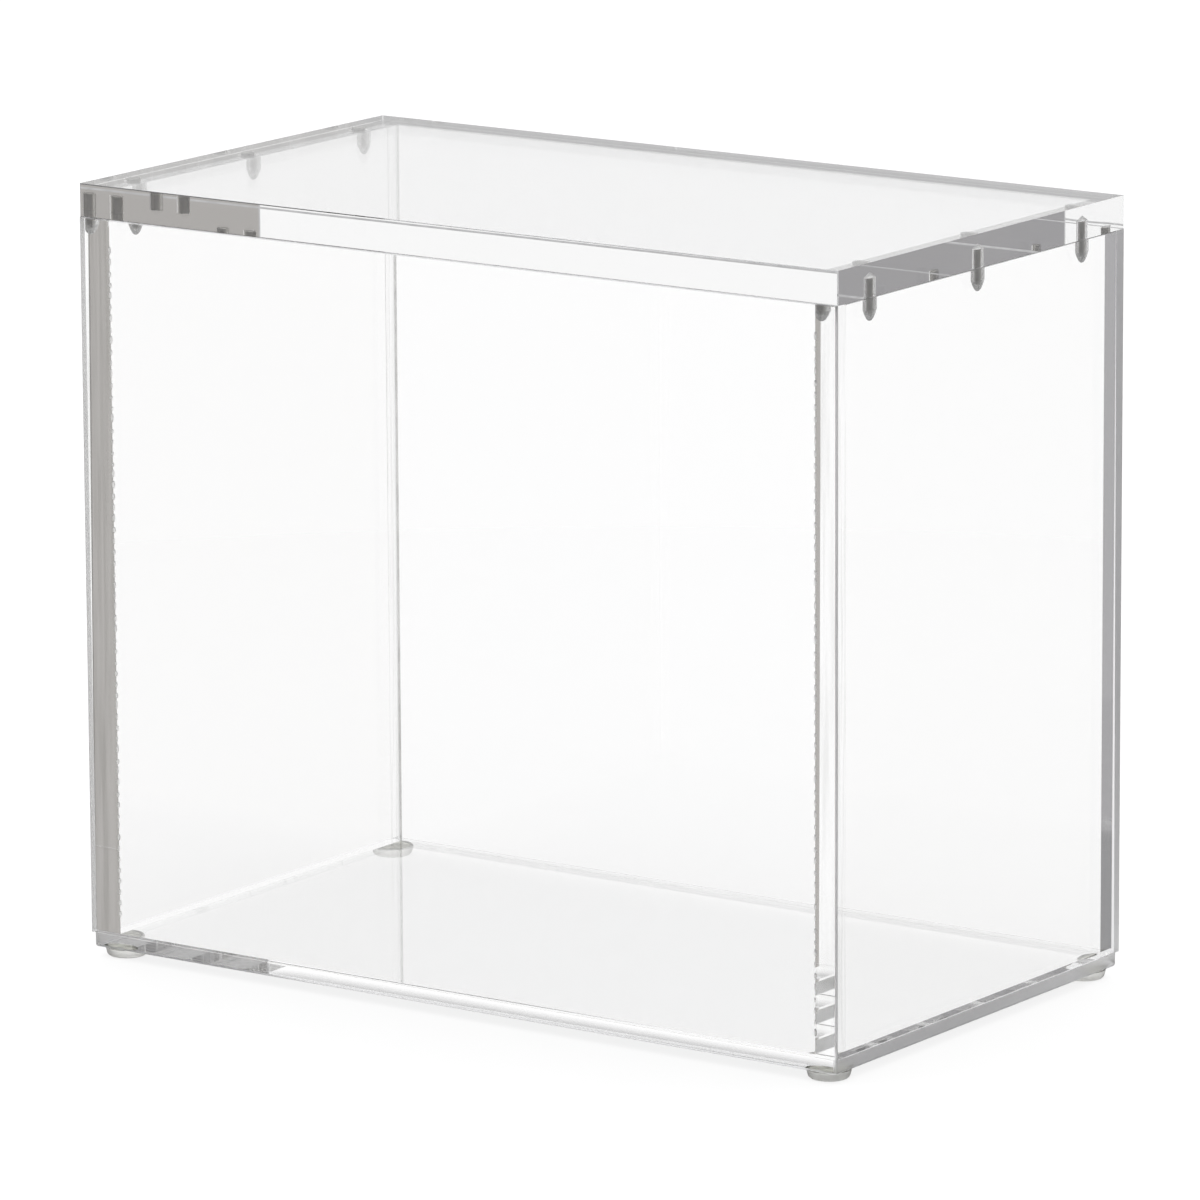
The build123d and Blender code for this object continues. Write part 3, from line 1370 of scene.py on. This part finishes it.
@dataclass
class Studio:
    """A pale table, a white backdrop with greyer surroundings beside it, soft lamps and the camera."""

    # A ray's glossy depth is a whole number that passes this when it is first reflected
    FIRST_TURN = 0.5

    table_radius: float = 0.62
    table_sides: int = 96
    table_level: float = -0.05 * MM
    table_grain: Pair = (0.84, 0.86)
    grain_scale: float = 60.0
    grain_span: Pair = (0.3, 0.7)
    table_lift: Pair = (0.72, 0.76)
    # The shade close round the box is painted: a grey that only reflected rays see
    shade_reach: float = 19.0 * MM
    shade_core: float = 0.4
    shade_colour: Rgba = (0.47, 0.465, 0.47, 1.0)
    backdrop_heading: Triple = (-0.574, 0.819, 0.0)
    backdrop_span: Pair = (0.5, 0.78)
    overhead_span: Pair = (0.45, 0.8)
    beside_span: Pair = (-0.34, 0.34)
    backdrop_strength: float = 1.1
    mirrored_strength: float = 0.9
    beside_rear: Rgba = (0.465, 0.448, 0.43, 1.0)
    beside_front: Rgba = (0.33, 0.325, 0.335, 1.0)
    azimuth: float = 35.057
    elevation: float = 12.158
    roll: float = -0.2946
    distance: float = 2.6035
    aim_right: float = 0.775 * MM
    aim_up: float = -101.443 * MM
    stand_height: float = 2.8 * MM
    lens: float = 274.1
    sensor: float = 36.0
    clip: Pair = (0.05, 50.0)
    softboxes: tuple[Softbox, ...] = (
        Softbox("overhead_softbox", (-0.2, 0.3, 1.7), size=1.5, power=13.0),
        Softbox("front_softbox", (1.1, -1.5, 1.2), size=0.9, power=5.0),
    )
    bounces: tuple[tuple[str, int], ...] = (
        ("max_bounces", 64),
        ("glossy_bounces", 48),
        ("transmission_bounces", 32),
        ("transparent_max_bounces", 48),
    )

    def build(self) -> None:
        """Builds the whole studio."""
        self.table()
        self.world()
        for softbox in self.softboxes:
            softbox.hang()
        self.camera()
        self.settings()

    def straight_ray(self, graph: Graph, path: bpy.types.NodeOutputs) -> Socket:
        """Finds rays that reach the background with no reflection on their way.

        Args:
            graph: the graph of the table or the world.
            path: what its Light Path node gives.

        Returns:
            1 for a camera ray and for one that only passed through clear sheet, and 0 for the others.
        """
        unturned = graph.math("LESS_THAN", path["Glossy Depth"], self.FIRST_TURN)
        through = graph.math("MULTIPLY", path["Is Transmission Ray"], unturned)
        return graph.math("MAXIMUM", path["Is Camera Ray"], through)

    def table(self) -> None:
        """Builds the round pale table top under the box."""
        bm = bmesh.new()
        bmesh.ops.create_circle(bm, cap_ends=True, segments=self.table_sides, radius=self.table_radius)
        for vert in bm.verts:
            vert.co.z = self.table_level
        mesh = bpy.data.meshes.new("table_top")
        bm.to_mesh(mesh)
        bm.free()
        mesh.materials.append(self.table_finish())
        top = bpy.data.objects.new("table_top", mesh)
        bpy.context.scene.collection.objects.link(top)

    def table_finish(self) -> bpy.types.Material:
        """Builds the table's paint, which is white where it is seen.

        Reflections of it see a painted shade, grey close round the box.

        Returns:
            The material.
        """
        material, graph, where = new_material("pale_table")
        path = graph.add("ShaderNodeLightPath").outputs
        grain = graph.ramp(graph.noise(where, self.grain_scale, BROKEN), self.grain_span, self.table_grain)
        tone = graph.add("ShaderNodeCombineXYZ", {"X": grain, "Y": grain, "Z": grain}).outputs[0]
        paint = graph.add("ShaderNodeBsdfDiffuse", {"Color": tone}).outputs[0]
        glow = {"Color": grey(1.0), "Strength": self.backdrop_strength}
        white = graph.add("ShaderNodeEmission", glow).outputs[0]
        share = graph.ramp(path["Is Transmission Ray"], (0.0, 1.0), self.table_lift)
        lift = graph.math("MULTIPLY", self.straight_ray(graph, path), share)
        seen = graph.blend(lift, paint, white)
        clear = graph.add("ShaderNodeBsdfTransparent").outputs[0]
        # Painted shade: a grey diffuse patch close round the box, seen only in reflections
        shade = graph.add("ShaderNodeBsdfDiffuse", {"Color": self.shade_colour}).outputs[0]
        mirrored = graph.blend(self.beyond_shade(graph, where), shade, clear)
        turned = graph.math("GREATER_THAN", path["Glossy Depth"], self.FIRST_TURN)
        close_material(graph, graph.blend(turned, seen, mirrored))
        return material

    def beyond_shade(self, graph: Graph, where: Socket) -> Socket:
        """Measures how far a point of the table is outside the shade close round the box.

        Args:
            graph: the table's graph.
            where: the object coordinates.

        Returns:
            0 in the shade, rising to 1 outside it.
        """
        half = CAD_BOX[1]
        sides = graph.add("ShaderNodeSeparateXYZ", {0: where}).outputs
        gap_x = graph.math("MAXIMUM", graph.math("SUBTRACT", graph.math("ABSOLUTE", sides["X"]), half.x), 0.0)
        gap_y = graph.math("MAXIMUM", graph.math("SUBTRACT", graph.math("ABSOLUTE", sides["Y"]), half.y), 0.0)
        gap = graph.add("ShaderNodeCombineXYZ", {"X": gap_x, "Y": gap_y}).outputs[0]
        far = graph.add("ShaderNodeVectorMath", {0: gap}, operation="LENGTH").outputs["Value"]
        return graph.ramp(far, (self.shade_reach * self.shade_core, self.shade_reach))

    def world(self) -> None:
        """Builds the surroundings: white behind the box and overhead, greyer to its sides.

        A reflection in the outside of a piece sees an even pale grey.
        """
        world = bpy.data.worlds.new("studio")
        world.use_nodes = True
        bpy.context.scene.world = world
        graph = Graph(world.node_tree)
        path = graph.add("ShaderNodeLightPath").outputs
        ray = graph.add("ShaderNodeTexCoord").outputs["Generated"]
        level = graph.add("ShaderNodeVectorMath", {0: ray, 1: (1, 1, 0)}, operation="MULTIPLY").outputs[0]
        level = graph.add("ShaderNodeVectorMath", {0: level}, operation="NORMALIZE").outputs[0]
        heading = {0: level, 1: self.backdrop_heading}
        toward = graph.add("ShaderNodeVectorMath", heading, operation="DOT_PRODUCT").outputs["Value"]
        height = graph.add("ShaderNodeSeparateXYZ", {0: ray}).outputs["Z"]
        white = grey(self.backdrop_strength)
        around = graph.tone(graph.ramp(toward, self.beside_span), self.beside_front, self.beside_rear)
        around = graph.tone(graph.ramp(toward, self.backdrop_span), around, white)
        around = graph.tone(graph.ramp(height, self.overhead_span), around, white)
        reflected = graph.math("SUBTRACT", path["Is Glossy Ray"], path["Is Transmission Ray"])
        around = graph.tone(reflected, around, grey(self.mirrored_strength))
        shown = graph.tone(self.straight_ray(graph, path), around, white)
        light = graph.add("ShaderNodeBackground", {"Color": shown, "Strength": 1.0}).outputs[0]
        graph.add("ShaderNodeOutputWorld", {"Surface": light})

    def camera(self) -> None:
        """Stands the camera where the photograph was taken from."""
        turn, rise, roll = (math.radians(v) for v in (self.azimuth, self.elevation, self.roll))
        level = math.cos(rise)
        back = Vector((math.sin(turn) * level, -math.cos(turn) * level, math.sin(rise)))
        right = Vector((0, 0, 1)).cross(back).normalized()
        up = back.cross(right)
        turned_right = math.cos(roll) * right + math.sin(roll) * up
        turned_up = -math.sin(roll) * right + math.cos(roll) * up
        eye = back * self.distance - turned_right * self.aim_right - turned_up * self.aim_up
        eye.z += self.stand_height
        data = bpy.data.cameras.new("photo_camera")
        data.lens = self.lens
        data.sensor_width = self.sensor
        data.clip_start, data.clip_end = self.clip
        thing = bpy.data.objects.new("photo_camera", data)
        axes = Matrix((turned_right, turned_up, back)).transposed()
        thing.matrix_world = Matrix.Translation(eye) @ axes.to_4x4()
        bpy.context.scene.collection.objects.link(thing)
        bpy.context.scene.camera = thing

    def settings(self) -> None:
        """Sets the view transform and lets light bounce often enough inside clear sheet."""
        scene = bpy.context.scene
        scene.view_settings.view_transform = "Standard"
        for name, count in self.bounces:
            setattr(scene.cycles, name, count)
        scene.cycles.caustics_reflective = False
        scene.cycles.caustics_refractive = False


# Making


def report(thing: bpy.types.Object) -> None:
    """Logs a finished piece's name, size and faces."""
    size = [round(v / MM, 1) for v in thing.dimensions]
    LOG.info("%s: %s mm, %d faces", thing.name, size, len(thing.data.polygons))


def main() -> None:
    """Builds the box's pieces in order, then the studio."""
    logging.basicConfig(level=logging.INFO, format="%(message)s")
    finishes = Finishes()
    turning = TurnedTree()
    pins = LocatingPins(finishes, turning, sorted(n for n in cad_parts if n.startswith("pin_")))
    places = pins.places()
    pieces = Sheets(finishes, places).build()
    pieces.append(Lid(finishes, places).build())
    pieces.append(pins.build())
    pieces += StickOnFeet(finishes, turning).build()
    pieces.append(CementBeads(finishes).build())
    bpy.context.view_layer.update()
    for piece in pieces:
        report(piece)
    Studio().build()


if __name__ == "__main__":
    main()
